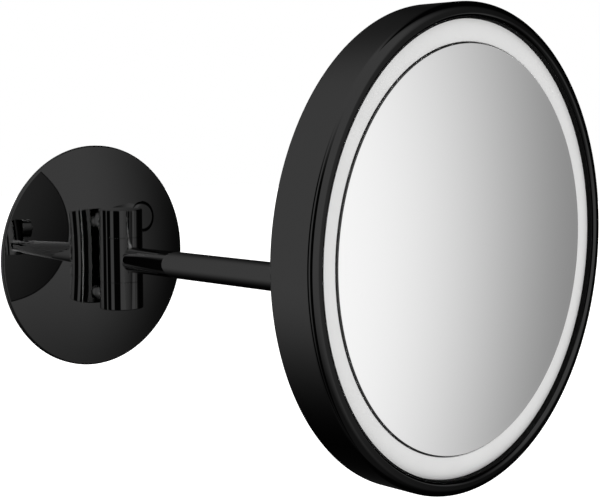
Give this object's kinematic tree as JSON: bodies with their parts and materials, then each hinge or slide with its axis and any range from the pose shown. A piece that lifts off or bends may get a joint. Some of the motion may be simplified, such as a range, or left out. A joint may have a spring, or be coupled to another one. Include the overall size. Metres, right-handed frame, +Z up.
{
  "type": "lit swing-arm shaving mirror",
  "caption": "Round magnifying wall mirror with a light ring, on a straight arm that swings from a domed rosette; the head swivels and tilts, and a push button works the light.",
  "frame": {"origin": "on the wall, midway between the two wall screws at the back of the bracket", "axes": "+Z up, +Y into the wall, so the arm runs along -Y and the mirror looks along -Y; +X to the right as seen when facing the wall"},
  "size_m": [0.2, 0.2536, 0.2],
  "materials": {
    "black_gloss": "black mirror-gloss coating on metal",
    "steel": "plain steel",
    "aluminium": "pressed aluminium",
    "nylon": "black nylon",
    "rubber": "black rubber",
    "foam": "closed-cell bonding foam",
    "frosted_acrylic": "frosted opal acrylic",
    "white_plastic": "white moulded plastic",
    "black_plastic": "black moulded plastic",
    "circuit_board": "green solder mask",
    "led": "yellow phosphor",
    "mirror": "silvered glass"
  },
  "bodies": {
    "wall_mount": {"wall_bracket": "steel", "upper_post": "steel", "lower_post": "steel", "cable_grommet": "rubber", "rosette": "black_gloss", "post_grub_screws": "steel", "upper_knuckle": "black_gloss", "lower_knuckle": "black_gloss", "hinge_bolt": "steel", "hinge_springs": "steel", "hinge_washers": "nylon", "hinge_plug": "black_gloss", "switch_board": "circuit_board", "switch_body": "black_plastic", "switch_screws": "steel"},
    "button": {"switch_button": "black_gloss"},
    "arm": {"arm_knuckle": "black_gloss", "arm_tube": "black_gloss", "arm_end": "black_gloss", "swivel_washer": "nylon", "swivel_plug": "black_gloss"},
    "swivel": {"swivel_block": "black_gloss", "swivel_bolt": "steel", "swivel_springs": "steel"},
    "head": {"left_tilt_knuckle": "black_gloss", "right_tilt_knuckle": "black_gloss", "tilt_bolt": "steel", "tilt_springs": "steel", "tilt_washers": "nylon", "tilt_plug": "black_gloss", "tilt_lock_screw": "black_gloss", "knuckle_screws": "steel", "back_shell": "black_gloss", "head_seal": "rubber", "front_bezel": "black_gloss", "diffuser_ring": "frosted_acrylic", "light_tray": "white_plastic", "led_board": "circuit_board", "leds": "led", "mirror_carrier": "aluminium", "carrier_screws": "steel", "mirror_pad": "foam", "mirror_glass": "mirror", "driver_board": "circuit_board", "driver_parts": "black_plastic", "driver_screws": "steel"}
  },
  "joints": [
    {"name": "arm_swing", "type": "hinge", "parent": "wall_mount", "child": "arm", "pos_m": [0, -0.02235, 0], "axis": [0, 0, 1], "range_deg": [-90, 90]},
    {"name": "head_swivel", "type": "hinge", "parent": "arm", "child": "swivel", "pos_m": [0, -0.20235, 0], "axis": [0, 0, 1], "range_deg": [-90, 90]},
    {"name": "head_tilt", "type": "hinge", "parent": "swivel", "child": "head", "pos_m": [0, -0.21785, 0.0204], "axis": [1, 0, 0], "range_deg": [-45, 28]},
    {"name": "button_press", "type": "slide", "parent": "wall_mount", "child": "button", "axis": [0, 1, 0], "range_m": [0, 0.0008], "stiffness_N_per_m": 2000, "springref_m": -0.0005}
  ]
}
